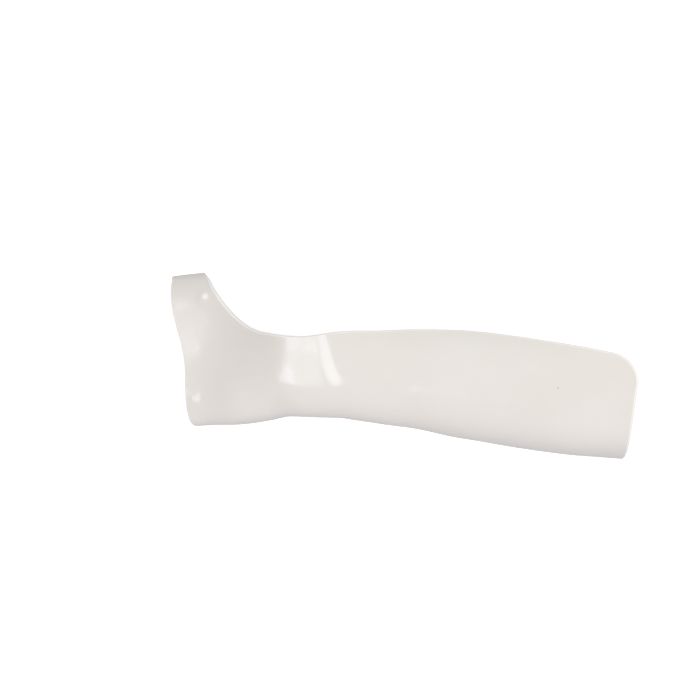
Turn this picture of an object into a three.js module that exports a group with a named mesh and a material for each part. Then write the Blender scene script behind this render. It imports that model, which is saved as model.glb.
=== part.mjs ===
// Wrist cock-up splint for a right forearm, in millimetres. It is one sheet of low-temperature
// thermoplastic, moulded over the palm, the palm side of the wrist and half of the forearm. A bar of
// the same sheet passes through the thumb web and ends on the back of the hand.
//
// The form is worked out on the arm that wears it, in the arm's own frame: X runs from the wrist
// towards the elbow, Y towards the thumb, Z out of the palm side. A place on it is a distance along
// the arm's axis (0 at the wrist, negative in the hand) and a turn round the axis (0 at the middle of
// the palm side, positive towards the thumb). The finished sheet is then laid down as it rests by
// itself: palm side up, on the bar's end, the palm's little-finger edge and one elbow corner.

import * as THREE from "three";
import { ConvexHull } from "three/addons/math/ConvexHull.js";

// Driving dimensions. Breadths and depths are those of the sheet's outer side closed round the arm.
const FOREARM_LENGTH = 190;
const HAND_LENGTH = 87;
const FOREARM_BREADTH = 100.4;
const FOREARM_DEPTH = 95;
const WRIST_BREADTH = 72.8;
const WRIST_DEPTH = 50;
const HAND_BREADTH = 93.4;
const HAND_DEPTH = 34;
const SHEET_THICKNESS = 3.2;
const EDGE_RADIUS = 1.2;
const COCK_UP = THREE.MathUtils.degToRad(29);
const FOREARM_LEAN = THREE.MathUtils.degToRad(5);
const HAND_LEAN = COCK_UP - FOREARM_LEAN;
const WRIST_BEND_LENGTH = 34;
const WRIST_BEND_END = 23;
const BAR_WRAP = THREE.MathUtils.degToRad(140);

// Cross-sections round the arm. along: share of HAND_LENGTH where negative, of FOREARM_LENGTH where
// positive. breadth and depth: -1 is the hand's, 0 the wrist's and 1 the forearm's. offset: shift of
// the middle towards the thumb, as a share of FOREARM_BREADTH. square: exponent of the section's
// outline, 2 for an ellipse and more for flatter sides.
const SECTIONS = [
  { along: -1.09, breadth: -0.85, depth: -1.05, offset: 0.087, square: 3 },
  { along: -0.99, breadth: -0.93, depth: -1.0, offset: 0.089, square: 3 },
  { along: -0.74, breadth: -1.01, depth: -0.88, offset: 0.099, square: 2.8 },
  { along: -0.445, breadth: -0.955, depth: -0.55, offset: 0.1065, square: 2.6 },
  { along: -0.297, breadth: -0.75, depth: -0.35, offset: 0.107, square: 2.5 },
  { along: -0.198, breadth: -0.45, depth: -0.2, offset: 0.095, square: 2.45 },
  { along: 0, breadth: -0.16, depth: -0.04, offset: 0.066, square: 2.35 },
  { along: 0.103, breadth: 0, depth: 0, offset: 0.045, square: 2.3 },
  { along: 0.217, breadth: 0.043, depth: 0.07, offset: 0.015, square: 2.25 },
  { along: 0.32, breadth: 0.072, depth: 0.16, offset: -0.006, square: 2.2 },
  { along: 0.464, breadth: 0.232, depth: 0.32, offset: -0.041, square: 2.22 },
  { along: 0.681, breadth: 0.529, depth: 0.59, offset: -0.07, square: 2.35 },
  { along: 0.897, breadth: 0.877, depth: 0.84, offset: -0.071, square: 2.5 },
  { along: 1.03, breadth: 1, depth: 1, offset: -0.069, square: 2.55 },
];

// Ribs that carry the sheet's outline: where each leaves the little-finger edge and where it meets
// the thumb edge. Along as above, turns in degrees.
const RIBS = [
  { littleAlong: -0.875, littleTurn: -128, thumbAlong: -1.012, thumbTurn: 60 },
  { littleAlong: -0.806, littleTurn: -128, thumbAlong: -0.924, thumbTurn: 60 },
  { littleAlong: -0.74, littleTurn: -127, thumbAlong: -0.84, thumbTurn: 60 },
  { littleAlong: -0.672, littleTurn: -126, thumbAlong: -0.756, thumbTurn: 59 },
  { littleAlong: -0.609, littleTurn: -125, thumbAlong: -0.697, thumbTurn: 46.5 },
  { littleAlong: -0.529, littleTurn: -124, thumbAlong: -0.614, thumbTurn: 34 },
  { littleAlong: -0.437, littleTurn: -123, thumbAlong: -0.514, thumbTurn: 23 },
  { littleAlong: -0.322, littleTurn: -122, thumbAlong: -0.371, thumbTurn: 13.4 },
  { littleAlong: -0.266, littleTurn: -121.6, thumbAlong: -0.305, thumbTurn: 11.2 },
  { littleAlong: -0.172, littleTurn: -121, thumbAlong: -0.195, thumbTurn: 11.8 },
  { littleAlong: 0.01, littleTurn: -121, thumbAlong: 0, thumbTurn: 14.4 },
  { littleAlong: 0.105, littleTurn: -122, thumbAlong: 0.095, thumbTurn: 22.6 },
  { littleAlong: 0.21, littleTurn: -125, thumbAlong: 0.205, thumbTurn: 27.8 },
  { littleAlong: 0.316, littleTurn: -128, thumbAlong: 0.31, thumbTurn: 32.8 },
  { littleAlong: 0.463, littleTurn: -132, thumbAlong: 0.458, thumbTurn: 36.4 },
  { littleAlong: 0.653, littleTurn: -137, thumbAlong: 0.637, thumbTurn: 31.5 },
  { littleAlong: 0.816, littleTurn: -140, thumbAlong: 0.832, thumbTurn: 21.5 },
  { littleAlong: 0.905, littleTurn: -140, thumbAlong: 0.932, thumbTurn: 16.2 },
  { littleAlong: 0.987, littleTurn: -140, thumbAlong: 1.012, thumbTurn: 13 },
];

// The fingers' edge steps towards the index finger beyond a share of its way across. It and the elbow
// edge arch inwards in the middle by a share of HAND_LENGTH; the elbow's arch begins at ELBOW_RIB.
const END_EDGES = { stepFrom: 0.35, arch: 0.009 };
const ELBOW_RIB = 16;

// The bar leaves the thumb edge between the first rib and this one, and leans towards the fingers.
const BAR_RIB = 3;
const BAR_END_ALONG = { fingers: -1.1, wrist: -0.88 };

// Radii of the sheet's outer corners, as shares of HAND_BREADTH.
const CORNERS = { littleFinger: 0.107, barEnd: 0.091, elbowLittle: 0.171, elbowThumb: 0.16 };

// Edges turned away from the skin: rise as a share of SHEET_THICKNESS, reach as a share of
// HAND_BREADTH.
const FLARES = {
  fingers: { rise: 0.15, reach: 0.2 },
  bar: { rise: 0.06, reach: 0.064 },
  thumb: { rise: 0.06, reach: 0.064 },
  elbow: { rise: 0.08, reach: 0.086 },
  little: { rise: 0.12, reach: 0.064 },
};

// Hollows and swellings moulded by the hand. turn in degrees, long as a share of HAND_LENGTH, wide as
// a share of HAND_BREADTH, out as a share of SHEET_THICKNESS with hollows negative.
const MOULDING = [
  { name: "palm hollow", along: -0.575, turn: 12, long: 0.345, wide: 0.214, out: -1 },
  { name: "little-finger pad", along: -0.46, turn: -48, long: 0.23, wide: 0.139, out: 0.69 },
  { name: "wrist crease", along: 0.015, turn: 0, long: 0.09, wide: 0.35, out: -0.34 },
];

// Numbers of cells: along the hand, along the rest, round the arm, along the bar, in an edge's quarter.
const CELL_COUNTS = { hand: 10, rest: 60, round: 30, bar: 9, edge: 2 };

const COLOUR = "#ebe8e1";

const HALF_TURN = Math.PI / 2;
const SMALL_STEP = 0.01;

const distanceAt = (along) => along * (along < 0 ? HAND_LENGTH : FOREARM_LENGTH);

/** A smooth line through points: cubics between them, each slope the mean of the two sides'. */
function lineThrough(xs, ys) {
  const secants = xs.slice(1).map((x, i) => (ys[i + 1] - ys[i]) / (x - xs[i]));
  const slopes = xs.map((x, i) => {
    if (i === 0 || i === xs.length - 1) {
      return secants[Math.max(i - 1, 0)];
    }
    const before = x - xs[i - 1];
    const after = xs[i + 1] - x;
    return (after * secants[i - 1] + before * secants[i]) / (before + after);
  });
  return (value) => {
    const x = THREE.MathUtils.clamp(value, xs[0], xs[xs.length - 1]);
    const next = xs.findIndex((each, i) => i > 0 && x <= each);
    const i = next - 1;
    const step = xs[next] - xs[i];
    const t = (x - xs[i]) / step;
    const start = (1 + 2 * t) * (1 - t) ** 2 * ys[i] + t * (1 - t) ** 2 * step * slopes[i];
    const end = t ** 2 * (3 - 2 * t) * ys[next] + t ** 2 * (t - 1) * step * slopes[next];
    return start + end;
  };
}

const stations = SECTIONS.map((row) => distanceAt(row.along));
const column = (name) => lineThrough(stations, SECTIONS.map((row) => row[name]));
const breadthShare = column("breadth");
const depthShare = column("depth");
const offsetShare = column("offset");
const squareness = column("square");

/** A size at a place: the wrist's, blended into the hand's or the forearm's. */
function blend(share, hand, wrist, forearm) {
  return wrist + (share < 0 ? -share * (hand - wrist) : share * (forearm - wrist));
}

/**
 * The axis at a distance: its point in the arm's XZ plane and how far the section there leans. The
 * axis bends in one arc from the hand's slope up to the forearm's slight slope down. The sections
 * lean with it in the hand and stand upright in the forearm.
 */
function axisAt(distance) {
  const radius = WRIST_BEND_LENGTH / COCK_UP;
  const turned = (WRIST_BEND_END - distance) / radius - FOREARM_LEAN;
  const lean = THREE.MathUtils.clamp(turned, -FOREARM_LEAN, HAND_LEAN);
  const pastHand = Math.min(distance - WRIST_BEND_END + WRIST_BEND_LENGTH, 0);
  const pastForearm = Math.max(distance - WRIST_BEND_END, 0);
  const arcX = WRIST_BEND_END - radius * (Math.sin(lean) + Math.sin(FOREARM_LEAN));
  const arcZ = radius * (Math.cos(lean) - Math.cos(FOREARM_LEAN));
  const x = arcX + pastHand * Math.cos(HAND_LEAN) + pastForearm * Math.cos(FOREARM_LEAN);
  const z = arcZ + pastHand * Math.sin(HAND_LEAN) - pastForearm * Math.sin(FOREARM_LEAN);
  return { x, z, lean: Math.max(lean, 0) };
}

/** A point of the smooth form round the arm. */
function formPoint(distance, turn) {
  const { x, z, lean } = axisAt(distance);
  const breadth = blend(breadthShare(distance), HAND_BREADTH, WRIST_BREADTH, FOREARM_BREADTH);
  const depth = blend(depthShare(distance), HAND_DEPTH, WRIST_DEPTH, FOREARM_DEPTH);
  const power = squareness(distance);
  const sine = Math.sin(turn);
  const cosine = Math.cos(turn);
  const size = (Math.abs(sine) ** power + Math.abs(cosine) ** power) ** (1 / power);
  const across = offsetShare(distance) * FOREARM_BREADTH + (breadth / 2) * (sine / size);
  const up = (depth / 2) * (cosine / size);
  return new THREE.Vector3(x - up * Math.sin(lean), across, z + up * Math.cos(lean));
}

/** The form's outward direction at a place. */
function formNormal(distance, turn) {
  const alongForm = formPoint(distance + SMALL_STEP, turn).sub(formPoint(distance - SMALL_STEP, turn));
  const roundForm = formPoint(distance, turn + SMALL_STEP).sub(formPoint(distance, turn - SMALL_STEP));
  return alongForm.cross(roundForm).normalize();
}

/** Length of surface passed per radian of turn. */
function arcPerTurn(distance, turn) {
  const before = formPoint(distance, turn - SMALL_STEP);
  return before.distanceTo(formPoint(distance, turn + SMALL_STEP)) / (2 * SMALL_STEP);
}

/** How far a rounded corner holds one edge back, at a distance from the other edge. */
function cornerRetreat(distance, radius) {
  const left = radius - Math.min(Math.max(distance, 0), radius);
  return radius - Math.sqrt(radius ** 2 - left ** 2);
}

/** Shares from 0 to 1, closer together near both ends. */
function closerAtEnds(cells) {
  const crowding = 0.75;
  return Array.from({ length: cells + 1 }, (_, i) => {
    const share = i / cells;
    return share - (crowding * Math.sin(2 * Math.PI * share)) / (2 * Math.PI);
  });
}

const ease = (share) => share * share * (3 - 2 * share);

/** How far a turn has gone across the palm side, 0 at the little finger's side. */
const acrossShare = (turn) => Math.sin(THREE.MathUtils.clamp(turn, -HALF_TURN, HALF_TURN));

const littleEdge = RIBS.map((row) => distanceAt(row.littleAlong));
const littleEdgeLength = littleEdge[RIBS.length - 1] - littleEdge[0];
const ribShares = littleEdge.map((distance) => (distance - littleEdge[0]) / littleEdgeLength);
const littleDistance = lineThrough(ribShares, littleEdge);
const thumbDistance = lineThrough(ribShares, RIBS.map((row) => distanceAt(row.thumbAlong)));
const turnLine = (name) => {
  return lineThrough(ribShares, RIBS.map((row) => THREE.MathUtils.degToRad(row[name])));
};
const littleTurn = turnLine("littleTurn");
const thumbTurn = turnLine("thumbTurn");
const radiusOf = (name) => CORNERS[name] * HAND_BREADTH;

/** Both ends of a rib after the corners are rounded. */
function ribEnds(share) {
  const little = { distance: littleDistance(share), turn: littleTurn(share) };
  const thumb = { distance: thumbDistance(share), turn: thumbTurn(share) };
  const fromFingers = little.distance - littleDistance(0);
  const fromElbow = littleDistance(1) - little.distance;
  const retreatAtFingers = cornerRetreat(fromFingers, radiusOf("littleFinger"));
  const retreatAtElbow = cornerRetreat(fromElbow, radiusOf("elbowLittle"));
  const thumbRetreat = cornerRetreat(thumbDistance(1) - thumb.distance, radiusOf("elbowThumb"));
  little.turn += (retreatAtFingers + retreatAtElbow) / arcPerTurn(little.distance, little.turn);
  thumb.turn -= thumbRetreat / arcPerTurn(thumb.distance, thumb.turn);
  return { little, thumb };
}

/** Places along one rib, from the little finger's edge to the thumb's. */
function ribPlaces(share) {
  const { little, thumb } = ribEnds(share);
  const start = acrossShare(little.turn);
  const span = acrossShare(thumb.turn) - start;
  const nearFingers = Math.max(1 - share / ribShares[BAR_RIB], 0);
  const nearElbow = Math.max((share - ribShares[ELBOW_RIB]) / (1 - ribShares[ELBOW_RIB]), 0);
  return closerAtEnds(CELL_COUNTS.round).map((part) => {
    const turn = little.turn + (thumb.turn - little.turn) * part;
    const across = Math.max((acrossShare(turn) - start) / span, 0);
    const step = ease(Math.max(across - END_EDGES.stepFrom, 0) / (1 - END_EDGES.stepFrom));
    const bowed = across + nearFingers * (step - across);
    const inwards = END_EDGES.arch * HAND_LENGTH * Math.sin(Math.PI * across);
    const arch = (nearFingers - nearElbow) * inwards;
    return { distance: little.distance + (thumb.distance - little.distance) * bowed + arch, turn };
  });
}

/** Places along the bar, carrying on from a rib that ends at the bar's root. */
function barPlaces(share) {
  const { thumb } = ribEnds(share);
  const rootWidth = thumbDistance(ribShares[BAR_RIB]) - thumbDistance(0);
  const acrossBar = (thumb.distance - thumbDistance(0)) / rootWidth;
  const tip = distanceAt(BAR_END_ALONG.fingers);
  const endWidth = distanceAt(BAR_END_ALONG.wrist) - tip;
  const endDistance = tip + acrossBar * endWidth;
  const toSide = Math.min(acrossBar, 1 - acrossBar) * endWidth;
  const endRetreat = cornerRetreat(toSide, radiusOf("barEnd"));
  const endTurn = BAR_WRAP - endRetreat / arcPerTurn(endDistance, BAR_WRAP);
  return Array.from({ length: CELL_COUNTS.bar }, (_, i) => {
    const part = (i + 1) / CELL_COUNTS.bar;
    const leaning = 1 - (1 - part) ** 2;
    return {
      distance: thumb.distance + (endDistance - thumb.distance) * leaning,
      turn: thumb.turn + (endTurn - thumb.turn) * part,
    };
  });
}

/** The sheet's places in rows of ribs; rows within the bar's width carry on along the bar. */
function sheetPlaces() {
  const barShare = ribShares[BAR_RIB];
  const hand = closerAtEnds(CELL_COUNTS.hand).map((part) => part * barShare);
  const rest = closerAtEnds(CELL_COUNTS.rest).slice(1).map((part) => barShare + part * (1 - barShare));
  const withBar = hand.map((share) => [...ribPlaces(share), ...barPlaces(share)]);
  return [...withBar, ...rest.map((share) => ribPlaces(share))];
}

/** Row and column pairs round the sheet's whole border, split into its named edges. */
function borderPlaces() {
  const lastRow = CELL_COUNTS.hand + CELL_COUNTS.rest;
  const lastColumn = CELL_COUNTS.round + CELL_COUNTS.bar;
  const steps = (from, to) => {
    const sign = Math.sign(to - from);
    return Array.from({ length: Math.abs(to - from) }, (_, i) => from + sign * i);
  };
  return {
    little: steps(0, lastRow).map((row) => [row, 0]),
    elbow: steps(0, CELL_COUNTS.round).map((each) => [lastRow, each]),
    thumb: steps(lastRow, CELL_COUNTS.hand).map((row) => [row, CELL_COUNTS.round]),
    bar: [
      ...steps(CELL_COUNTS.round, lastColumn).map((each) => [CELL_COUNTS.hand, each]),
      ...steps(CELL_COUNTS.hand, 0).map((row) => [row, lastColumn]),
      ...steps(lastColumn, CELL_COUNTS.round).map((each) => [0, each]),
    ],
    fingers: steps(CELL_COUNTS.round, 0).map((each) => [0, each]),
  };
}

/** Shortest distance from a point to a line of points. */
function distanceToLine(point, line) {
  const nearest = new THREE.Vector3();
  const distances = line.slice(1).map((end, i) => {
    new THREE.Line3(line[i], end).closestPointToPoint(point, true, nearest);
    return nearest.distanceTo(point);
  });
  return Math.min(...distances);
}

/** Points of the outer surface: the smooth form, its moulding and its turned-out edges. */
function outerSurface(places, normals, border) {
  const plain = places.map((row) => row.map(({ distance, turn }) => formPoint(distance, turn)));
  const names = Object.keys(border);
  const edgeLines = names.map((name, i) => {
    const following = border[names[(i + 1) % names.length]][0];
    return [...border[name], following].map(([row, each]) => plain[row][each]);
  });
  const flareAt = (point) => {
    const rises = names.map((name, i) => {
      const { rise, reach } = FLARES[name];
      const share = 1 - distanceToLine(point, edgeLines[i]) / (reach * HAND_BREADTH);
      return rise * SHEET_THICKNESS * Math.max(share, 0) ** 2;
    });
    return Math.hypot(...rises);
  };
  const mouldingAt = ({ distance, turn }) => {
    const parts = MOULDING.map((row) => {
      const middle = distanceAt(row.along);
      const middleTurn = THREE.MathUtils.degToRad(row.turn);
      const alongForm = (distance - middle) / (row.long * HAND_LENGTH);
      const arc = (turn - middleTurn) * arcPerTurn(middle, middleTurn);
      const roundForm = arc / (row.wide * HAND_BREADTH);
      return row.out * SHEET_THICKNESS * Math.exp(-(alongForm ** 2) - roundForm ** 2);
    });
    return parts.reduce((sum, part) => sum + part, 0);
  };
  return places.map((row, i) =>
    row.map((place, j) => {
      const out = flareAt(plain[i][j]) + mouldingAt(place);
      return plain[i][j].clone().addScaledVector(normals[i][j], out);
    }),
  );
}

/** Triangles between two rows of point numbers. */
function stripBetween(first, second) {
  return first.slice(1).flatMap((_, i) => [
    [first[i], second[i], second[i + 1]],
    [first[i], second[i + 1], first[i + 1]],
  ]);
}

/** The closed body: outer side, inner side one thickness below, and a rounded edge between them. */
function sheetBody() {
  const places = sheetPlaces();
  const border = borderPlaces();
  const normalRows = places.map((row) => row.map(({ distance, turn }) => formNormal(distance, turn)));
  const normals = normalRows.flat();
  const points = [];
  const numbers = outerSurface(places, normalRows, border).map((row) => {
    const start = points.length;
    points.push(...row);
    return row.map((_, i) => start + i);
  });
  const outerTriangles = numbers.slice(1).flatMap((row, i) => {
    const shared = Math.min(row.length, numbers[i].length);
    return stripBetween(numbers[i].slice(0, shared), row.slice(0, shared));
  });
  const inner = points.map((point, i) => point.clone().addScaledVector(normals[i], -SHEET_THICKNESS));
  const innerTriangles = outerTriangles.map(([a, b, c]) => [a, c, b].map((each) => each + points.length));

  const loop = Object.values(border).flat().map(([row, each]) => numbers[row][each]);
  const outwards = loop.map((each, i) => {
    const before = points[loop[(i + loop.length - 1) % loop.length]];
    const after = points[loop[(i + 1) % loop.length]];
    return normals[each].clone().cross(after.clone().sub(before)).normalize().negate();
  });
  const body = [...points, ...inner];
  const rings = [loop];
  const edgeStep = HALF_TURN / CELL_COUNTS.edge;
  const quarter = Array.from({ length: CELL_COUNTS.edge }, (_, i) => edgeStep * (i + 1));
  const profile = quarter.map((angle) => ({
    out: EDGE_RADIUS * Math.sin(angle),
    down: EDGE_RADIUS * (1 - Math.cos(angle)),
  }));
  const lowerHalf = [...profile].reverse().map(({ out, down }) => ({ out, down: SHEET_THICKNESS - down }));
  for (const { out, down } of [...profile, ...lowerHalf]) {
    rings.push(loop.map((_, i) => body.length + i));
    loop.forEach((each, i) => {
      const moved = points[each].clone().addScaledVector(outwards[i], out);
      body.push(moved.addScaledVector(normals[each], -down));
    });
  }
  rings.push(loop.map((each) => each + points.length));
  const rimTriangles = rings.slice(1).flatMap((ring, i) => {
    const closed = (each) => [...each, each[0]];
    return stripBetween(closed(rings[i]), closed(ring));
  });
  return { points: body, triangles: [...outerTriangles, ...innerTriangles, ...rimTriangles] };
}

/** Centre of mass of a closed body of even material. */
function centreOfMass({ points, triangles }) {
  const centre = new THREE.Vector3();
  let whole = 0;
  for (const corners of triangles) {
    const [a, b, c] = corners.map((each) => points[each]);
    const volume = a.dot(b.clone().cross(c)) / 6;
    whole += volume;
    centre.addScaledVector(a.clone().add(b).add(c), volume / 4);
  }
  return centre.divideScalar(whole);
}

/**
 * The way down on which the body stands by itself, nearest the arm's own. A face of the hull carries
 * the body when the centre of mass lies straight above it.
 */
function restingDirection(body) {
  const centre = centreOfMass(body);
  const hull = new ConvexHull().setFromPoints(body.points);
  const carrying = hull.faces.filter((face) => {
    const under = centre.clone().addScaledVector(face.normal, -face.distanceToPoint(centre));
    const corners = [face.getEdge(0), face.getEdge(1), face.getEdge(2)].map((edge) => edge.head().point);
    return new THREE.Triangle(...corners).containsPoint(under);
  });
  const lowest = carrying.reduce((best, face) => (face.normal.z < best.normal.z ? face : best));
  return lowest.normal;
}

const body = sheetBody();
const geometry = new THREE.BufferGeometry().setFromPoints(body.points);
geometry.setIndex(body.triangles.flat());

const down = new THREE.Vector3(0, 0, -1);
const laidDown = new THREE.Quaternion().setFromUnitVectors(restingDirection(body), down);
geometry.applyQuaternion(laidDown);
const towardsElbow = new THREE.Vector3(1, 0, 0).applyQuaternion(laidDown);
geometry.rotateZ(-Math.atan2(towardsElbow.y, towardsElbow.x));
geometry.computeBoundingBox();
const { min, max } = geometry.boundingBox;
geometry.translate(-(min.x + max.x) / 2, -(min.y + max.y) / 2, -min.z);
geometry.computeVertexNormals();

const material = new THREE.MeshStandardMaterial({ color: COLOUR, roughness: 0.25, metalness: 0 });
const shell = new THREE.Mesh(geometry, material);
shell.name = "splint_shell";

const splint = new THREE.Group();
splint.name = "wrist_cock_up_splint";
splint.add(shell);

export default splint;
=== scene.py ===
# %% [markdown]
# # A wrist cock-up splint, moulded from one sheet
#
# The real object is a flat sheet of low-temperature thermoplastic, 3.2 mm thick. It is warmed in
# water until it goes soft, draped over the palm side of a hand and forearm, and cooled there. The
# wrist is held bent back while it sets, which is what "cock-up" means. One strip of the sheet, the
# bar, goes through the thumb web and ends on the back of the hand.
#
# Nothing on it is a box, a tube or a ball, so this lesson works the whole surface out as one
# function of two numbers: how far along the arm, and how far round it. Everything is in
# millimetres until the very end, when the finished points are turned into Blender's metres.

import bmesh
import bpy
import numpy as np
from mathutils import Matrix, Vector


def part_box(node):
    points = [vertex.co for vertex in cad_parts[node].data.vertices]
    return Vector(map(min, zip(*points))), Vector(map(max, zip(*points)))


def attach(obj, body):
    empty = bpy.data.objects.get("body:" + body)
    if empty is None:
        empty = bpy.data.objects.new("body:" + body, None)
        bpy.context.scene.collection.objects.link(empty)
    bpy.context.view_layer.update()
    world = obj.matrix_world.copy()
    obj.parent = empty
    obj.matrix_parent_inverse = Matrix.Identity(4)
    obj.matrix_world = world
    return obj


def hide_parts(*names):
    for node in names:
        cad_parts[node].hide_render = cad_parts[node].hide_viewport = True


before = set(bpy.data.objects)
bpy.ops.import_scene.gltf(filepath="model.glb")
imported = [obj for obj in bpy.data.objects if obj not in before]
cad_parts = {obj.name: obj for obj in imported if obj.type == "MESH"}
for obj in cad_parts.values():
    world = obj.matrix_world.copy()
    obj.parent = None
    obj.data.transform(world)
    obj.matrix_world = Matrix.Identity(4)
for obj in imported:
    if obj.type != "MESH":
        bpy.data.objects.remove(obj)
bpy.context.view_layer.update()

MM = 0.001  # in Blender's metres

# %% [markdown]
# ## The sizes
#
# A therapist measures the arm before cutting the sheet: breadth and depth at the knuckles, at the
# wrist and below the elbow, and the lengths between them. The same numbers drive this file. They
# are those of the sheet's outer side, if it were closed all the way round the arm.

# %% Driving sizes, in millimetres
FOREARM_LENGTH, HAND_LENGTH = 190.0, 87.0
FOREARM_BREADTH, FOREARM_DEPTH = 100.4, 95.0
WRIST_BREADTH, WRIST_DEPTH = 72.8, 50.0
HAND_BREADTH, HAND_DEPTH = 93.4, 34.0
SHEET_THICKNESS, EDGE_RADIUS = 3.2, 1.2
COCK_UP, FOREARM_LEAN = np.radians(29.0), np.radians(5.0)
HAND_LEAN = COCK_UP - FOREARM_LEAN
WRIST_BEND_LENGTH, WRIST_BEND_END = 34.0, 23.0  # it ends this far past the wrist
BAR_WRAP = np.radians(140.0)  # turn of the bar's end from the middle of the palm side
print("radius of the bend in mm:", round(WRIST_BEND_LENGTH / COCK_UP, 1))


def distance_at(along):
    """A share of the hand (negative) or of the forearm (positive), as millimetres from the wrist."""
    along = np.asarray(along, float)
    return np.where(along < 0, along * HAND_LENGTH, along * FOREARM_LENGTH)


# %% [markdown]
# ## A smooth line through a few points
#
# The arm's sections are given at a handful of places. Between them a size should change the way
# skin does, without corners. A cubic between each pair of rows does that: at every row its slope is
# the weighted mean of the slopes on both sides, so the pieces join smoothly.

# %% The smooth line
def line_through(xs, ys):
    """
    A function through the points (xs, ys). Between two rows, t going from 0 to 1, it is the sum of
    (1 + 2t)(1 - t)^2 times the first value, t^2 (3 - 2t) times the second, and two terms that
    carry the slopes: t (1 - t)^2 and t^2 (t - 1), times the step and the slope at each end.
    """
    xs, ys = np.asarray(xs, float), np.asarray(ys, float)
    steps = np.diff(xs)
    secants = np.diff(ys) / steps
    inner = (steps[1:] * secants[:-1] + steps[:-1] * secants[1:]) / (steps[1:] + steps[:-1])
    slopes = np.concatenate([secants[:1], inner, secants[-1:]])

    def line(values):
        values = np.clip(values, xs[0], xs[-1])
        i = np.clip(np.searchsorted(xs, values) - 1, 0, len(xs) - 2)
        t = (values - xs[i]) / steps[i]
        start = (1 + 2 * t) * (1 - t) ** 2 * ys[i] + t * (1 - t) ** 2 * steps[i] * slopes[i]
        end = t ** 2 * (3 - 2 * t) * ys[i + 1] + t ** 2 * (t - 1) * steps[i] * slopes[i + 1]
        return start + end

    return line


# %% [markdown]
# ## The arm's sections
#
# A palm is a flat oval with blunt corners, a forearm is nearly round. One family of curves holds
# both: the superellipse, where a power of 2 gives an ellipse and a larger power squares it off.
# Each row says how broad and deep the section is (-1 for the hand's size, 0 for the wrist's, 1 for
# the forearm's), how far its middle lies towards the thumb, and its power.

# %% Sections, from the fingers to the elbow
SECTIONS = np.array([
    # along, breadth, depth, offset, power
    (-1.09, -0.85, -1.05, 0.087, 3.0),
    (-0.99, -0.93, -1.0, 0.089, 3.0),
    (-0.74, -1.01, -0.88, 0.099, 2.8),
    (-0.445, -0.955, -0.55, 0.1065, 2.6),
    (-0.297, -0.75, -0.35, 0.107, 2.5),
    (-0.198, -0.45, -0.2, 0.095, 2.45),
    (0, -0.16, -0.04, 0.066, 2.35),
    (0.103, 0, 0, 0.045, 2.3),
    (0.217, 0.043, 0.07, 0.015, 2.25),
    (0.32, 0.072, 0.16, -0.006, 2.2),
    (0.464, 0.232, 0.32, -0.041, 2.22),
    (0.681, 0.529, 0.59, -0.07, 2.35),
    (0.897, 0.877, 0.84, -0.071, 2.5),
    (1.03, 1, 1, -0.069, 2.55),
])
breadth_share, depth_share, offset_share, section_power = (
    line_through(distance_at(SECTIONS[:, 0]), column) for column in SECTIONS[:, 1:].T
)
print("first and last section in mm:", distance_at(SECTIONS[[0, -1], 0]).round(1).tolist())


def blend(share, hand, wrist, forearm):
    """The wrist's size, moved by a share towards the hand's (negative) or the forearm's."""
    return wrist + np.where(share < 0, -share * (hand - wrist), share * (forearm - wrist))


# %% [markdown]
# The middle line of the arm is straight in the forearm, bends back over a short arc at the wrist
# and is straight again in the hand. There the sections lean with it, and that is what tips the
# palm piece down from the forearm.

# %% The middle line and a point on the form
def axis_at(distance):
    """
    Where the arm's middle line is, and the sections' lean. The line's own lean goes evenly from the
    hand's to the forearm's over the bend, which makes an arc of one radius: x changes by the radius
    times the change of sin(lean), and z by the radius times the change of cos(lean). On both sides
    of the arc it runs on straight. The sections lean with it in the hand and stand upright in the
    forearm, where it falls by only a few degrees.
    """
    radius = WRIST_BEND_LENGTH / COCK_UP
    lean = np.clip((WRIST_BEND_END - distance) / radius - FOREARM_LEAN, -FOREARM_LEAN, HAND_LEAN)
    past_hand = np.minimum(distance - WRIST_BEND_END + WRIST_BEND_LENGTH, 0)
    past_forearm = np.maximum(distance - WRIST_BEND_END, 0)
    x = WRIST_BEND_END - radius * (np.sin(lean) + np.sin(FOREARM_LEAN))
    z = radius * (np.cos(lean) - np.cos(FOREARM_LEAN))
    x = x + past_hand * np.cos(HAND_LEAN) + past_forearm * np.cos(FOREARM_LEAN)
    z = z + past_hand * np.sin(HAND_LEAN) - past_forearm * np.sin(FOREARM_LEAN)
    return x, z, np.maximum(lean, 0)


def form_point(distance, turn):
    """
    The smooth form. With n = (|sin|^p + |cos|^p)^(1/p), the point is half the breadth times sin/n
    across and half the depth times cos/n up, on a section that leans with the middle line.
    """
    x, z, lean = axis_at(distance)
    breadth = blend(breadth_share(distance), HAND_BREADTH, WRIST_BREADTH, FOREARM_BREADTH)
    depth = blend(depth_share(distance), HAND_DEPTH, WRIST_DEPTH, FOREARM_DEPTH)
    power = section_power(distance)
    size = (np.abs(np.sin(turn)) ** power + np.abs(np.cos(turn)) ** power) ** (1 / power)
    across = offset_share(distance) * FOREARM_BREADTH + breadth / 2 * np.sin(turn) / size
    up = depth / 2 * np.cos(turn) / size
    return np.stack([x - up * np.sin(lean), across, z + up * np.cos(lean)], axis=-1)


SMALL_STEP = 0.01  # in millimetres along, in radians round


def form_normal(distance, turn):
    """The outward direction: the cross product of a small step along and a small step round."""
    along = form_point(distance + SMALL_STEP, turn) - form_point(distance - SMALL_STEP, turn)
    round_arm = form_point(distance, turn + SMALL_STEP) - form_point(distance, turn - SMALL_STEP)
    normal = np.cross(along, round_arm)
    return normal / np.linalg.norm(normal, axis=-1, keepdims=True)


def arc_per_turn(distance, turn):
    """Millimetres of surface passed per radian of turn."""
    step = form_point(distance, turn + SMALL_STEP) - form_point(distance, turn - SMALL_STEP)
    return np.linalg.norm(step, axis=-1) / (2 * SMALL_STEP)


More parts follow.
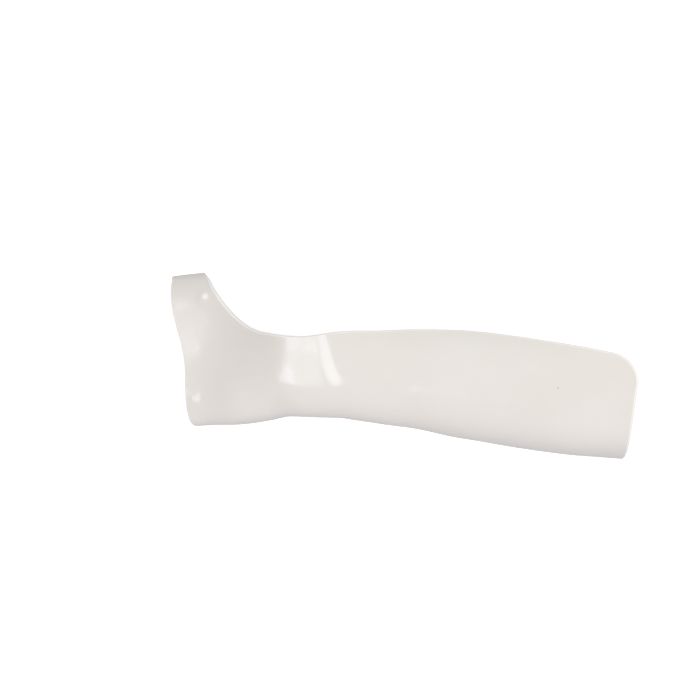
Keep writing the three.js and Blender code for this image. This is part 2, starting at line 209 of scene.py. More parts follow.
OVER_PALM, OVER_WRIST, OVER_FOREARM = -60.0, 0.0, 150.0
crest = form_point(np.array([OVER_PALM, OVER_WRIST, OVER_FOREARM]), np.zeros(3))
print("crest over palm, wrist and forearm, z in mm:", np.round(crest[:, 2], 1).tolist())

# %% [markdown]
# ## The outline
#
# The sheet was cut with shears before it was warmed: a straight edge for the little finger's side,
# a deep curve to let the thumb out, a slanting edge below the knuckles and rounded corners. It
# could be cut out of the form with a Boolean, but that leaves ragged triangles along every edge.
# Here the outline carries the surface instead: each row of points is a rib that starts on the
# little finger's edge and stops on the thumb's edge, so the grid always ends exactly on the cut.

# %% Ribs: both ends of the sheet at a few places
RIBS = np.array([
    # little along, little turn, thumb along, thumb turn
    (-0.875, -128, -1.012, 60),
    (-0.806, -128, -0.924, 60),
    (-0.74, -127, -0.84, 60),
    (-0.672, -126, -0.756, 59),
    (-0.609, -125, -0.697, 46.5),
    (-0.529, -124, -0.614, 34),
    (-0.437, -123, -0.514, 23),
    (-0.322, -122, -0.371, 13.4),
    (-0.266, -121.6, -0.305, 11.2),
    (-0.172, -121, -0.195, 11.8),
    (0.01, -121, 0, 14.4),
    (0.105, -122, 0.095, 22.6),
    (0.21, -125, 0.205, 27.8),
    (0.316, -128, 0.31, 32.8),
    (0.463, -132, 0.458, 36.4),
    (0.653, -137, 0.637, 31.5),
    (0.816, -140, 0.832, 21.5),
    (0.905, -140, 0.932, 16.2),
    (0.987, -140, 1.012, 13),
])
# ribs up to the first of these rows carry the bar, and those past the second arch at the elbow
BAR_RIB, ELBOW_RIB = 3, 16
# how far along the hand the two corners of the bar's end lie
BAR_END_FINGERS, BAR_END_WRIST = -1.1, -0.88
# the share of the palm's width where the step starts, and the arch as a share of the hand's length
FINGERS_STEP_FROM, END_ARCH = 0.35, 0.009
# radii as shares of the hand's breadth
CORNERS = {"little finger": 0.107, "bar end": 0.091, "elbow little": 0.171, "elbow thumb": 0.16}

little_edge = distance_at(RIBS[:, 0])
rib_shares = (little_edge - little_edge[0]) / (little_edge[-1] - little_edge[0])
little_distance = line_through(rib_shares, little_edge)
little_turn = line_through(rib_shares, np.radians(RIBS[:, 1]))
thumb_distance = line_through(rib_shares, distance_at(RIBS[:, 2]))
thumb_turn = line_through(rib_shares, np.radians(RIBS[:, 3]))
print("ends of the little finger's edge in mm:", little_edge[[0, -1]].round(1).tolist())


# %% [markdown]
# A rounded corner holds one edge back near the other. At a distance d from the crossing edge, a
# quarter circle of radius r gives way by r minus the root of r^2 - (r - d)^2. Near such a corner the
# rows crowd together, so that the curve stays round.

# %% Rounded corners and rows that crowd at the ends
def corner_retreat(distance, radius):
    """How far a quarter circle of this radius holds the edge back."""
    left = radius - np.clip(distance, 0, radius)
    return radius - np.sqrt(radius ** 2 - left ** 2)


def closer_at_ends(cells, crowding=0.96):
    """Shares from 0 to 1: x minus crowding times sin(2 pi x) / (2 pi)."""
    shares = np.linspace(0, 1, cells + 1)
    return shares - crowding * np.sin(2 * np.pi * shares) / (2 * np.pi)


def corner_radius(name):
    """A corner's radius in millimetres."""
    return CORNERS[name] * HAND_BREADTH


def rib_ends(share):
    """Distance and turn of both ends of each rib, with the corners rounded."""
    little, thumb = little_distance(share), thumb_distance(share)
    held = corner_retreat(little - little_distance(0), corner_radius("little finger"))
    held = held + corner_retreat(little_distance(1) - little, corner_radius("elbow little"))
    start = little_turn(share)
    start = start + held / arc_per_turn(little, start)
    held = corner_retreat(thumb_distance(1) - thumb, corner_radius("elbow thumb"))
    stop = thumb_turn(share)
    stop = stop - held / arc_per_turn(thumb, stop)
    return little, start, thumb, stop


# %% [markdown]
# Between its two ends a rib crosses the palm side. Its distance along the arm changes with the sine
# of the turn, which is how a straight cut looks when it is wrapped round a form. The edge below
# the knuckles is different: it keeps level under the little and ring fingers, then steps out to the
# index finger, as the crease of the palm does. Both end edges arch inwards a little.

# %% Places on the ribs and on the bar
def across_share(turn):
    """How far a turn has gone across the palm side, from -1 to 1."""
    return np.sin(np.clip(turn, -np.pi / 2, np.pi / 2))


def rib_places(share, cells):
    """Distance and turn of every point on the ribs, as two grids of rows by cells + 1."""
    little, start, thumb, stop = (part[:, None] for part in rib_ends(share))
    turn = start + (stop - start) * closer_at_ends(cells)
    across = (across_share(turn) - across_share(start)) / (across_share(stop) - across_share(start))
    across = np.maximum(across, 0)
    step = np.maximum(across - FINGERS_STEP_FROM, 0) / (1 - FINGERS_STEP_FROM)
    near_fingers = np.maximum(1 - share / rib_shares[BAR_RIB], 0)[:, None]
    bowed = across + near_fingers * (step ** 2 * (3 - 2 * step) - across)
    past_elbow_rib = share - rib_shares[ELBOW_RIB]
    near_elbow = np.maximum(past_elbow_rib / (1 - rib_shares[ELBOW_RIB]), 0)[:, None]
    arch = (near_fingers - near_elbow) * END_ARCH * HAND_LENGTH * np.sin(np.pi * across)
    return little + (thumb - little) * bowed + arch, turn


def bar_places(share, cells):
    """
    The bar carries its ribs on round the hand. It leans towards the fingers by 1 - (1 - part)^2,
    quickly at its root and hardly at all at its end, and its end is rounded.
    """
    _, _, thumb, stop = rib_ends(share)
    root = thumb_distance(rib_shares[BAR_RIB]) - thumb_distance(0)
    across_bar = (thumb - thumb_distance(0)) / root
    tip, wrist_side = distance_at([BAR_END_FINGERS, BAR_END_WRIST])
    end_distance = tip + across_bar * (wrist_side - tip)
    to_side = np.minimum(across_bar, 1 - across_bar) * (wrist_side - tip)
    held = corner_retreat(to_side, corner_radius("bar end"))
    end_turn = BAR_WRAP - held / arc_per_turn(end_distance, np.full_like(thumb, BAR_WRAP))
    part = np.linspace(0, 1, cells + 1)[1:]
    leaning = 1 - (1 - part) ** 2
    distance = thumb[:, None] + (end_distance - thumb)[:, None] * leaning
    return distance, stop[:, None] + (end_turn - stop)[:, None] * part


# %% The whole sheet's places: ribs first, and the bar beside the rows that reach it
HAND_ROWS, REST_ROWS, ROUND_CELLS, BAR_CELLS = 48, 200, 116, 36
bar_share = rib_shares[BAR_RIB]
row_shares = np.concatenate([
    closer_at_ends(HAND_ROWS) * bar_share,
    bar_share + (1 - bar_share) * closer_at_ends(REST_ROWS)[1:],
])
rib_distance, rib_turn = rib_places(row_shares, ROUND_CELLS)
bar_distance, bar_turn = bar_places(row_shares, BAR_CELLS)
distance = np.hstack([rib_distance, bar_distance])
turn = np.hstack([rib_turn, bar_turn])
on_sheet = np.ones(distance.shape, bool)
on_sheet[HAND_ROWS + 1:, ROUND_CELLS + 1:] = False
number = np.full(distance.shape, -1)
number[on_sheet] = np.arange(on_sheet.sum())
print("points on the outer side:", int(on_sheet.sum()))

# %% [markdown]
# ## The border, as five named edges
#
# Flares, the rounded rim and the look of the cut edge all need to know where the border is. It is
# walked once, in order, through the row and column numbers of the grid.

# %% The border's rows and columns
LAST_ROW, LAST_COLUMN = HAND_ROWS + REST_ROWS, ROUND_CELLS + BAR_CELLS


def grid_line(rows, columns):
    """Row and column numbers along one stretch of the border, as two arrays of one length."""
    return np.stack(np.broadcast_arrays(rows, columns), axis=-1)


border = {
    "little": grid_line(np.arange(0, LAST_ROW), 0),
    "elbow": grid_line(LAST_ROW, np.arange(0, ROUND_CELLS)),
    "thumb": grid_line(np.arange(LAST_ROW, HAND_ROWS, -1), ROUND_CELLS),
    "bar": np.concatenate([
        grid_line(HAND_ROWS, np.arange(ROUND_CELLS, LAST_COLUMN)),
        grid_line(np.arange(HAND_ROWS, 0, -1), LAST_COLUMN),
        grid_line(0, np.arange(LAST_COLUMN, ROUND_CELLS, -1)),
    ]),
    "fingers": grid_line(0, np.arange(ROUND_CELLS, 0, -1)),
}
print("points on each edge:", {name: len(places) for name, places in border.items()})

# %% [markdown]
# ## Flares and moulding
#
# Where the sheet ends against skin, the maker turns its edge a little outwards, so that it doesn't
# dig in. The rise is greatest at the cut and dies out as the square of what is left of its reach.
# Where two flares meet, their rises join as the root of the sum of their squares. The hand presses
# its own form into the soft sheet too: a hollow in the palm, a pad below the little finger and a
# shallow crease over the wrist. Each is a bell curve on the surface.

# %% Distance from every point to each edge
LONG_EDGE, THINNED = 60, 3  # an edge of more points than this is measured at every third one
TINY = 1e-9
plain = form_point(distance, turn)
normals = form_normal(distance, turn)


def distance_to_line(points, line):
    """
    Shortest distance from each point to a line of points. On each piece of the line the nearest
    place is the share (p - a).(b - a) / |b - a|^2 of the way, kept between 0 and 1.
    """
    nearest = np.full(points.shape[:-1], np.inf)
    for start, step in zip(line[:-1], np.diff(line, axis=0)):
        from_start = points - start
        share = np.clip(from_start @ step / max(step @ step, TINY), 0, 1)
        gap = np.linalg.norm(from_start - share[..., None] * step, axis=-1)
        nearest = np.minimum(nearest, gap)
    return nearest


edge_names = list(border)
edge_gap = {}
for i, name in enumerate(edge_names):
    following = border[edge_names[(i + 1) % len(edge_names)]][:1]
    rows, columns = np.concatenate([border[name], following]).T
    edge_points = plain[rows, columns]
    stride = THINNED if len(rows) > LONG_EDGE else 1
    edge_gap[name] = distance_to_line(plain, edge_points[::stride])
    print(f"{name} edge: {np.linalg.norm(np.diff(edge_points, axis=0), axis=1).sum():.0f} mm long")
border_gap = np.min(list(edge_gap.values()), axis=0)

# %% The rise of the flares and of the moulding
FLARES = {
    # rise as a share of the thickness, reach as a share of the hand's breadth
    "fingers": (0.15, 0.2),
    "bar": (0.06, 0.064),
    "thumb": (0.06, 0.064),
    "elbow": (0.08, 0.086),
    "little": (0.12, 0.064),
}
MOULDING = [
    # along, turn, long and wide as shares of the hand, out as a share of the thickness
    (-0.575, 12, 0.345, 0.214, -1.0),  # hollow of the palm
    (-0.46, -48, 0.23, 0.139, 0.69),  # pad below the little finger
    (0.015, 0, 0.09, 0.35, -0.34),  # crease over the wrist
]


def bell(along, turn_degrees, long, wide):
    """
    exp(-(a^2 + b^2)) at every point of the grid, a and b being the point's distances along and
    round from the bell's middle, in units of long and wide.
    """
    middle, middle_turn = distance_at(along), np.radians(turn_degrees)
    a = (distance - middle) / (long * HAND_LENGTH)
    b = (turn - middle_turn) * arc_per_turn(middle, middle_turn) / (wide * HAND_BREADTH)
    return np.exp(-(a ** 2) - b ** 2)


rises = []
for name, (rise, reach) in FLARES.items():
    left = np.maximum(1 - edge_gap[name] / (reach * HAND_BREADTH), 0)
    rises.append(rise * SHEET_THICKNESS * left ** 2)
flare = np.linalg.norm(rises, axis=0)
moulding = sum(out * SHEET_THICKNESS * bell(*place) for *place, out in MOULDING)
print(f"flares up to {flare.max():.1f} mm, moulding {moulding.min():.1f} to {moulding.max():.1f} mm")

# %% [markdown]
# ## Traces of the hands that made it
#
# A sheet that cooled on an arm is never as fair as a drawing. Thumbs smoothed it down while it was
# soft and left long, shallow waves, a few tenths of a millimetre high, which only show where the
# light is reflected. A sum of slow sine waves in the surface's own two directions gives that. The
# waves die out towards the border, which was cut fair. Two fingertips also left a small swelling
# each, and a swelling in glossy plastic carries a spot of light of its own.

# %% Waves of a few tenths of a millimetre, and two fingertip marks
WAVES = [
    # length along in mm, length round in mm, start, height in mm
    (61.0, 47.0, 0.4, 0.08),
    (38.0, -74.0, 2.1, 0.06),
    (-83.0, 33.0, 4.0, 0.07),
    (24.0, 52.0, 5.2, 0.03),
    (29.0, -27.0, 1.3, 0.02),
]
CALM_BORDER = 14.0  # in mm, over which the waves grow from nothing
PRESSES = [
    # along, turn, long and wide as shares of the hand, out as a share of the thickness
    (-0.818, -38.5, 0.055, 0.055, 0.15),  # below the little finger
    (-0.76, 38.5, 0.04, 0.037, 0.16),  # at the root of the bar
]
round_mm = turn * arc_per_turn(distance, turn)
waves = np.minimum(border_gap / CALM_BORDER, 1) * sum(
    height * np.sin(2 * np.pi * (distance / along + round_mm / round_arm) + start)
    for along, round_arm, start, height in WAVES
)
presses = sum(out * SHEET_THICKNESS * bell(*place) for *place, out in PRESSES)
outer = plain + (flare + moulding + waves + presses)[..., None] * normals
print(f"waves {waves[on_sheet].min():.2f} to {waves[on_sheet].max():.2f} mm")

# %% [markdown]
# ## From a surface to a sheet
#
# Blender's Solidify would give the thickness, but the cut edge of this sheet is part of its look:
# it is rubbed round, and catches a thin line of light. So the wall is built here. The inner side is
# the outer side moved in by one thickness, and the rim between them is a quarter circle, a short
# flat and another quarter circle, carried along the whole border.

# %% The border as one closed loop, and the way it faces
loop_places = np.concatenate(list(border.values()))
loop = number[loop_places[:, 0], loop_places[:, 1]]
points, point_normals = outer[on_sheet], normals[on_sheet]
tangents = np.roll(points[loop], -1, axis=0) - np.roll(points[loop], 1, axis=0)
outwards = np.cross(tangents, point_normals[loop])
outwards /= np.linalg.norm(outwards, axis=1, keepdims=True)

# %% The rim's profile and its rings of points
EDGE_STEPS = 5
quarter = np.linspace(0, np.pi / 2, EDGE_STEPS + 1)[1:]
rim_out = EDGE_RADIUS * np.sin(quarter)
rim_down = EDGE_RADIUS * (1 - np.cos(quarter))
rim_out = np.concatenate([rim_out, rim_out[::-1]])
rim_down = np.concatenate([rim_down, SHEET_THICKNESS - rim_down[::-1]])
ring_points = (
    points[loop]
    + rim_out[:, None, None] * outwards
    - rim_down[:, None, None] * point_normals[loop]
)
inner = points - SHEET_THICKNESS * point_normals
body = np.concatenate([points, inner, ring_points.reshape(-1, 3)])
print("rim:", rim_out.size, "rings of", len(loop), "points")

# %% Faces: two sides and the rim, all facing outwards
corners = np.stack([number[:-1, :-1], number[1:, :-1], number[1:, 1:], number[:-1, 1:]], axis=-1)
outer_faces = corners[(corners >= 0).all(axis=-1)]
inner_faces = outer_faces[:, ::-1] + len(points)
ring_numbers = 2 * len(points) + np.arange(rim_out.size * len(loop)).reshape(rim_out.size, -1)
rings = np.concatenate([[loop], ring_numbers, [loop + len(points)]])
after = np.roll(rings, -1, axis=1)
rim_faces = np.stack([rings[:-1], rings[1:], after[1:], after[:-1]], axis=-1).reshape(-1, 4)
faces = np.concatenate([outer_faces, inner_faces, rim_faces])
print(f"{len(body)} points, {len(faces)} faces")

# %% [markdown]
# ## Laying it down
#
# Off the arm, the splint rests palm side up, on three points of its border: the bar's end, the
# little finger's edge of the palm and one elbow corner. Which three is a question about weight. The
# convex hull is the surface of a sheet of paper pulled tight round the splint, and the splint
# can stand on a face of it if its centre of mass is straight above that face.

# %% Centre of mass of the closed body
def centre_of_mass(vertices, quads):
    """Each triangle and the origin make a pyramid of volume a.(b x c) / 6, centred at (a+b+c) / 4."""
    triangles = np.concatenate([quads[:, [0, 1, 2]], quads[:, [0, 2, 3]]])
    a, b, c = (vertices[triangles[:, i]] for i in range(3))
    volumes = np.einsum("ij,ij->i", a, np.cross(b, c)) / 6
    return (volumes[:, None] * (a + b + c) / 4).sum(axis=0) / volumes.sum(), volumes.sum()


MM3_PER_CM3 = 1000
centre, volume = centre_of_mass(body, faces)
print(f"volume {volume / MM3_PER_CM3:.1f} cm3, centre of mass at {np.round(centre, 1).tolist()} mm")


# %% The face of the hull that carries it
def carrying_face(vertices, weight_at):
    """The hull's face below the centre of mass whose outward direction is nearest to straight down."""
    hull = bmesh.new()
    for vertex in vertices:
        hull.verts.new(vertex)
    bmesh.ops.convex_hull(hull, input=hull.verts, use_existing_faces=False)
    bmesh.ops.triangulate(hull, faces=hull.faces)
    triangles = np.array([[corner.co[:] for corner in face.verts] for face in hull.faces])
    hull.free()
    edges = np.roll(triangles, -1, axis=1) - triangles
    down = np.cross(edges[:, 0], edges[:, 1])
    down /= np.linalg.norm(down, axis=1, keepdims=True)
    outward = np.einsum("ij,ij->i", down, triangles[:, 0] - weight_at)
    down *= np.sign(outward)[:, None]
    under = weight_at + np.abs(outward)[:, None] * down
    sides = np.cross(edges, under[:, None] - triangles)
    inside = np.einsum("ijk,ik->ij", sides, down)
    carries = (inside >= 0).all(axis=1) | (inside <= 0).all(axis=1)
    chosen = np.flatnonzero(carries)[np.argmin(down[carries, 2])]
    return down[chosen], triangles[chosen]


down, feet = carrying_face(body, centre)
print("rests on", np.round(feet, 1).tolist(), "down is", np.round(down, 3).tolist())

# %% Turn it onto that face and put the box's bottom middle at the origin
laid = Vector(down).rotation_difference(Vector((0, 0, -1))).to_matrix()
towards_elbow = laid @ Vector((1, 0, 0))
turned = Matrix.Rotation(-np.arctan2(towards_elbow.y, towards_elbow.x), 3, "Z") @ laid
laying = np.array(turned)
body = body @ laying.T
low, high = body.min(axis=0), body.max(axis=0)
shift = -np.array([(low[0] + high[0]) / 2, (low[1] + high[1]) / 2, low[2]])
body = body + shift
shell_box = np.array([corner[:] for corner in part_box("splint_shell")]) / MM
print("laid down, box in mm:", np.round([body.min(axis=0), body.max(axis=0)], 1).tolist())
print("the solid's box in mm:", np.round(shell_box, 1).tolist())


# %% [markdown]
# ## Into Blender
#
# The points go into a mesh in one call. Three attributes go with them for the material: which
# points are on the skin's side, how near each is to the cut edge, and the place on the surface in
# metres along and round, so that a pattern can follow the sheet.

# %% Mesh, attributes and object
def store(mesh, name, kind, values):
    """Writes one number or one vector per point as an attribute."""
    attribute = mesh.attributes.new(name, kind, "POINT")
    attribute.data.foreach_set("value" if kind == "FLOAT" else "vector", np.ravel(values))


ring_count = rim_out.size
side_depth = np.concatenate([
    np.zeros(len(points)),
    np.ones(len(points)),
    np.repeat(rim_down / SHEET_THICKNESS, len(loop)),
])
RIM_LOOK_WIDTH = 0.6  # in mm, how far the cut edge's painted highlight and its matter finish reach onto both sides
edge_share = np.clip(1 - border_gap[on_sheet] / RIM_LOOK_WIDTH, 0, 1)
edge_share = np.concatenate([edge_share, edge_share, np.ones(ring_count * len(loop))])
flat_place = np.stack([distance, round_mm, np.zeros_like(distance)], axis=-1)[on_sheet] * MM
flat_place = np.concatenate([flat_place, flat_place, np.tile(flat_place[loop], (ring_count, 1))])

sheet_mesh = bpy.data.meshes.new("moulded_sheet")
sheet_mesh.from_pydata((body * MM).tolist(), [], faces.tolist())
store(sheet_mesh, "skin_side", "FLOAT", side_depth)
store(sheet_mesh, "near_edge", "FLOAT", edge_share)
store(sheet_mesh, "on_the_sheet", "FLOAT_VECTOR", flat_place)
sheet_mesh.polygons.foreach_set("use_smooth", np.ones(len(faces), bool))
sheet_mesh.update()
sheet = bpy.data.objects.new("moulded_sheet", sheet_mesh)
bpy.context.scene.collection.objects.link(sheet)
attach(sheet, "root")
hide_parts("splint_shell")
print("triangles in the sheet:", 2 * len(faces))


# %% [markdown]
# ## Shader maths as Python
#
# A material is a graph of nodes, and arithmetic in it takes a node for every sign. The class below
# wraps one socket, so that sums and products of values are written as Python expressions and the
# nodes are added behind them.

# %% A socket that can be calculated with
# a Mix node has sockets for every kind of data, and these are the numbers of those for colours
MIX_FACTOR, MIX_FIRST, MIX_SECOND, MIX_RESULT = 0, 6, 7, 2


class Value:
    """One output socket of a material, with Python's arithmetic on it."""

    def __init__(self, tree, socket):
        self.tree, self.socket = tree, socket

    def node(self, kind, settings=None, inputs=None, output=0):
        """Adds a node: its settings first, then each input's value or link, and gives one output."""
        made = self.tree.nodes.new(kind)
        for name, value in (settings or {}).items():
            setattr(made, name, value)
        for name, value in (inputs or {}).items():
            if isinstance(value, Value):
                self.tree.links.new(value.socket, made.inputs[name])
            else:
                made.inputs[name].default_value = value
        return Value(self.tree, made.outputs[output])

    def math(self, operation, *terms):
        """A Math node on these terms."""
        return self.node("ShaderNodeMath", {"operation": operation}, dict(enumerate(terms)))

    def __add__(self, other):
        return self.math("ADD", self, other)

    def __sub__(self, other):
        return self.math("SUBTRACT", self, other)

    def __rsub__(self, other):
        return self.math("SUBTRACT", other, self)

    def __mul__(self, other):
        return self.math("MULTIPLY", self, other)

    def __pow__(self, other):
        return self.math("POWER", self, other)

    __radd__ = __add__
    __rmul__ = __mul__

    def between(self, low, high):
        """0 below low, 1 above high and an even slope between them."""
        inputs = {"From Min": low, "From Max": high}
        return self.node("ShaderNodeMapRange", {"clamp": True}, {"Value": self, **inputs})

    def mix(self, first, second):
        """First colour where this value is 0, second where it is 1."""
        inputs = {MIX_FACTOR: self, MIX_FIRST: first, MIX_SECOND: second}
        return self.node("ShaderNodeMix", {"data_type": "RGBA"}, inputs, output=MIX_RESULT)


def noise(place, scale, detail=2.0, roughness=0.5):
    """Cloudy noise with this many features per metre, from about 0.3 to 0.7."""
    inputs = {"Vector": place, "Scale": scale, "Detail": detail, "Roughness": roughness}
    return place.node("ShaderNodeTexNoise", {"noise_dimensions": "3D"}, inputs)


# %% [markdown]
# ## The finish
#
# Splinting sheet comes in a warm white with a glossy, slightly waxy coating. Heating draws faint
# clouds into its colour, handling scratches it along its length, and the cut edge and the skin's
# side are less glossy than the outer face. All of that is slight. The big thing is the smooth
# reflection, so roughness stays low and no ripple is higher than a few tenths of a millimetre.

# %% The thermoplastic
WARM_WHITE = (0.735, 0.712, 0.642, 1)
PALE_CLOUD = (0.762, 0.741, 0.676, 1)
WORN_SIDE = (0.725, 0.685, 0.605, 1)
# a painted highlight: the paler colour of the cut edge stands for the line of light its rounded rim
# catches
PAINTED_RIM_HIGHLIGHT = (0.92, 0.90, 0.86, 1)
SPECK = (0.30, 0.27, 0.24, 1)

plastic = bpy.data.materials.new("warm_white_thermoplastic")
plastic.use_nodes = True
tree = plastic.node_tree
shader = tree.nodes["Principled BSDF"]
blank = Value(tree, None)  # it has no socket and only adds the first nodes
place = blank.node("ShaderNodeTexCoord", output="Object")
skin_side = blank.node("ShaderNodeAttribute", {"attribute_name": "skin_side"}, output="Fac")
near_edge = blank.node("ShaderNodeAttribute", {"attribute_name": "near_edge"}, output="Fac")
on_sheet_place = blank.node("ShaderNodeAttribute", {"attribute_name": "on_the_sheet"}, output="Vector")
print("base colour, in linear light:", WARM_WHITE[:3])

# %% Colour: clouds, a duller skin side, a painted rim highlight and one dark speck on the forearm
CLOUDS_PER_METRE, WEAR_PER_METRE = 16.0, 42.0
MOST_WEAR, MOST_RIM_HIGHLIGHT, MOST_SPECK = 0.8, 0.6, 0.7  # how strongly each covers what is below it
RIM_HIGHLIGHT_FALL = 3.0
SPECK_AT = (0.0911, -0.0202, 0.0818)  # in metres, where the splint lies
SPECK_CORE, SPECK_RADIUS = 0.0002, 0.0006

clouds = noise(place, CLOUDS_PER_METRE, detail=3.0).between(0.35, 0.68)
skin_wear = skin_side * noise(place, WEAR_PER_METRE, detail=4.0).between(0.3, 0.7)
colour = clouds.mix(WARM_WHITE, PALE_CLOUD)
colour = (skin_wear * MOST_WEAR).mix(colour, WORN_SIDE)
# painted highlight: the rim and the last fraction of a millimetre beside it are made paler, for the
# light the rounded edge catches
colour = (near_edge ** RIM_HIGHLIGHT_FALL * MOST_RIM_HIGHLIGHT).mix(colour, PAINTED_RIM_HIGHLIGHT)
speck_gap = place.node(
    "ShaderNodeVectorMath", {"operation": "DISTANCE"}, {0: place, 1: SPECK_AT}, output="Value"
)
speck = 1.0 - speck_gap.between(SPECK_CORE, SPECK_RADIUS)
colour = (speck * MOST_SPECK).mix(colour, SPECK)

# %% Gloss: hairline scratches along the sheet, a matter edge and a matter skin side
SMOOTH_ROUGHNESS = 0.11
FROM_SMEARS, FROM_SCRATCHES, FROM_SKIN_SIDE, FROM_EDGE = 0.05, 0.09, 0.20, 0.12  # added to it
EDGE_MATT_FALL = 4.0
SCRATCHES_PER_METRE = (60, 900, 1)  # along the sheet, round it and through it
SMEARS_PER_METRE = 30.0

stretched = on_sheet_place.node(
    "ShaderNodeMapping",
    {"vector_type": "POINT"},
    {"Vector": on_sheet_place, "Scale": SCRATCHES_PER_METRE},
)
scratches = noise(stretched, 1.0, detail=6.0, roughness=0.65).between(0.6, 0.75)
smears = noise(place, SMEARS_PER_METRE, detail=3.0).between(0.4, 0.7)
roughness = SMOOTH_ROUGHNESS + smears * FROM_SMEARS + scratches * FROM_SCRATCHES
roughness = roughness + skin_side * FROM_SKIN_SIDE + near_edge ** EDGE_MATT_FALL * FROM_EDGE

# %% Relief: slow ripples of the cooled face and the finest grain
RIPPLES_PER_METRE, GRAINS_PER_METRE = 75.0, 900.0
RIPPLE_HEIGHT = 0.00022  # in metres
GRAIN_HEIGHT, SCRATCH_DEPTH = 0.06, 0.03  # as shares of the ripples' height

ripples = noise(place, RIPPLES_PER_METRE, detail=1.0)
grain = noise(place, GRAINS_PER_METRE)
relief = ripples + grain * GRAIN_HEIGHT - scratches * SCRATCH_DEPTH
bump = relief.node(
    "ShaderNodeBump", None, {"Strength": 1.0, "Distance": RIPPLE_HEIGHT, "Height": relief}
)
for name, value in {"Base Color": colour, "Roughness": roughness, "Normal": bump}.items():
    tree.links.new(value.socket, shader.inputs[name])

# %% What is the same all over: how strongly it mirrors, and the light that seeps into it
WAXY_PLASTIC = {
    "IOR": 1.55,
    "Subsurface Weight": 0.12,
    "Subsurface Radius": (1.0, 0.8, 0.6),  # red light goes the furthest
    "Subsurface Scale": 0.003,  # in metres
}
for name, value in WAXY_PLASTIC.items():
    shader.inputs[name].default_value = value
sheet_mesh.materials.append(plastic)
print("nodes in the finish:", len(tree.nodes))

# %% [markdown]
# ## The camera
#
# The picture looks straight at the palm side from well above. On the arm that is a view along -Z,
# and the splint tips a few degrees when it lies by itself, so the same turn and shift that laid it
# down are applied to the camera's place and to the way it faces.

# %% Camera 1.4 m from the wrist
PICTURE_PIXELS = 700
MM_PER_PIXEL = 0.6
CAMERA_DISTANCE = 1400.0
WRIST_PIXEL = np.array([311.0, 365.0])  # from the picture's upper left corner
SENSOR_WIDTH = 36.0
middle = (PICTURE_PIXELS / 2 - WRIST_PIXEL) * (1, -1) * MM_PER_PIXEL
camera_data = bpy.data.cameras.new("camera")
camera_data.sensor_width = SENSOR_WIDTH
camera_data.lens = SENSOR_WIDTH * CAMERA_DISTANCE / (PICTURE_PIXELS * MM_PER_PIXEL)
camera = bpy.data.objects.new("camera", camera_data)
camera_at = laying @ np.array([*middle, CAMERA_DISTANCE]) + shift
camera.matrix_world = Matrix.Translation(Vector(camera_at * MM)) @ turned.to_4x4()
bpy.context.scene.collection.objects.link(camera)
bpy.context.scene.camera = camera
print("lens in mm:", round(camera_data.lens, 1), "camera at", np.round(camera_at * MM, 3).tolist())

# %% [markdown]
# ## Floor and light
#
# A pale floor and large soft lamps leave the form to be read from slow changes of tone. Glossy
# plastic also mirrors the lamps: the softbox hangs beyond the fingers, where the bend of the wrist
# reflects it to the camera. It is made of panels, and where two overlap their light adds up: a
# middle panel, a fainter far one, brighter fields over both and an oval at the near end. Fields that
# overlap hang at different heights, because a ray counts only one of two lamps in the same plane.
# The oval hangs lower, so that the wrist mirrors it as a crescent and the forearm just misses it.
#
# A softbox is only mirrored here, and the fill lamps only give light: a pinkish one for the palm,
# and two for the steep sides. So the highlight and the soft light can be set apart. The key does
# both, from beyond the elbow. The paper floor glows a little, so that it stays white up to the
# splint, and throws nothing back.

# %% Floor
FLOOR_SIZE = 6.0
PAPER = {
    "Base Color": (0.97, 0.965, 0.95, 1),
    "Roughness": 0.9,
    "Emission Color": (1, 1, 1, 1),
    "Emission Strength": 0.35,
}
half = FLOOR_SIZE / 2
floor_corners = [(-half, -half, 0), (half, -half, 0), (half, half, 0), (-half, half, 0)]
floor_mesh = bpy.data.meshes.new("floor")
floor_mesh.from_pydata(floor_corners, [], [(0, 1, 2, 3)])
floor = bpy.data.objects.new("floor", floor_mesh)
bpy.context.scene.collection.objects.link(floor)
paper = bpy.data.materials.new("pale_floor")
paper.use_nodes = True
for name, value in PAPER.items():
    paper.node_tree.nodes["Principled BSDF"].inputs[name].default_value = value
floor_mesh.materials.append(paper)
floor.visible_diffuse = False
floor.visible_glossy = False
print("floor:", FLOOR_SIZE, "m square")

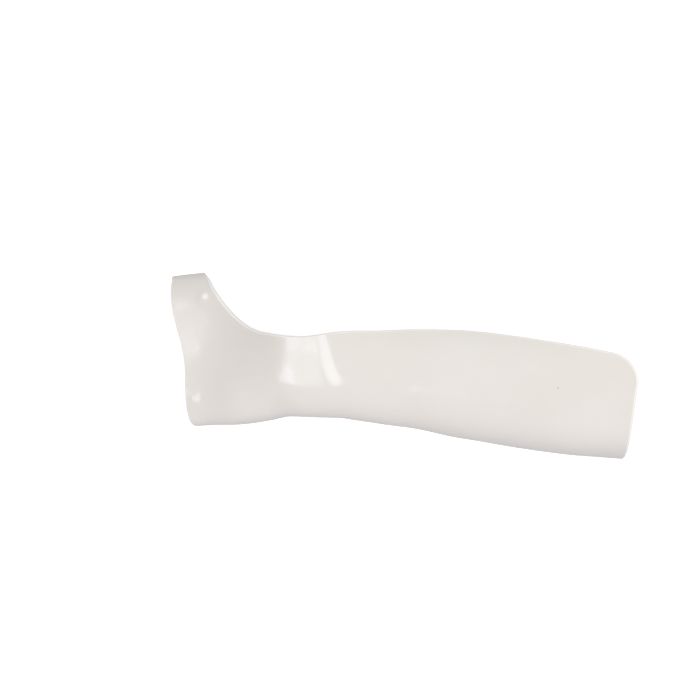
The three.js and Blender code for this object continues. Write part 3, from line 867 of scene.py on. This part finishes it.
# %% The lamps' places, in metres
COOL, NEUTRAL = (0.90, 1.0, 1.15), (0.978, 0.99, 0.98)
PINK, VIOLET = (1.0, 0.965, 0.945), (0.95, 0.94, 1.28)
SOFTBOX = {
    # x and y of the middle, height, length in x and in y, turn in degrees, brightness, colour, shape
    "softbox_middle": (-1.19, -0.49, 1.5, 0.62, 1.62, 0, 1.6, COOL, "RECTANGLE"),
    "softbox_far": (-1.7, -0.49, 1.5, 0.4, 1.62, 0, 0.8, COOL, "RECTANGLE"),
    "softbox_upper": (-1.18, 0.02, 1.48, 0.64, 0.36, 0, 1.7, COOL, "RECTANGLE"),
    "softbox_lower": (-1.52, -0.8, 1.46, 0.74, 0.9, 0, 2.2, COOL, "RECTANGLE"),
    "softbox_patch": (-2.15, -1.0, 1.44, 0.4, 0.56, 0, 2.8, COOL, "RECTANGLE"),
    "softbox_spot": (-1.6, 0.5, 1.44, 0.5, 0.7, 0, 3.2, COOL, "RECTANGLE"),
    "softbox_oval": (-0.272, -0.26, 0.75, 0.22, 0.78, 12, 3.2, COOL, "ELLIPSE"),
}
FILLS = {
    # the same columns
    "hand_fill": (-1.3, -0.8, 1.5, 1.1, 1.5, 0, 2.85, PINK, "RECTANGLE"),
    "low_fill": (0.3, -3.2, 1.5, 1.8, 2.0, 0, 2.2, VIOLET, "RECTANGLE"),
    "thumb_fill": (0.1, 3.0, 1.2, 2.4, 1.6, 0, 1.6, COOL, "RECTANGLE"),
}
KEY = (1.3, -0.25, 1.8, 1.2, 1.5, 0, 3.9, NEUTRAL, "RECTANGLE")
SHARE_OF_RECTANGLE = {"RECTANGLE": 1, "ELLIPSE": np.pi / 4}


# %% Hanging them
def hang_panel(name, x, y, height, length, breadth, turn_degrees, brightness, colour, shape):
    """
    A lamp that hangs level and shines straight down. Its power is brightness times pi times its
    area, so that in a mirror it looks this many times as bright as white paper. An ellipse's area
    is pi / 4 times that of the rectangle round it.
    """
    light = bpy.data.lights.new(name, "AREA")
    light.shape = shape
    light.size, light.size_y = length, breadth
    light.color = colour
    light.energy = brightness * np.pi * length * breadth * SHARE_OF_RECTANGLE[shape]
    panel = bpy.data.objects.new(name, light)
    panel.location = (x, y, height)
    panel.rotation_euler = (0, 0, np.radians(turn_degrees))
    bpy.context.scene.collection.objects.link(panel)
    return panel


for name, row in SOFTBOX.items():
    hang_panel(name, *row).visible_diffuse = False
for name, row in FILLS.items():
    hang_panel(name, *row).visible_glossy = False
hang_panel("key", *KEY)
print("lamps:", [light.name for light in bpy.data.lights])

# %% The room's own light, and a picture that shows colours as they are
ROOM_COLOUR, ROOM_STRENGTH = (0.995, 0.97, 1.02, 1), 0.60
world = bpy.data.worlds.new("studio")
world.use_nodes = True
background = world.node_tree.nodes["Background"].inputs
background["Color"].default_value = ROOM_COLOUR
background["Strength"].default_value = ROOM_STRENGTH
bpy.context.scene.world = world
bpy.context.scene.view_settings.view_transform = "Standard"
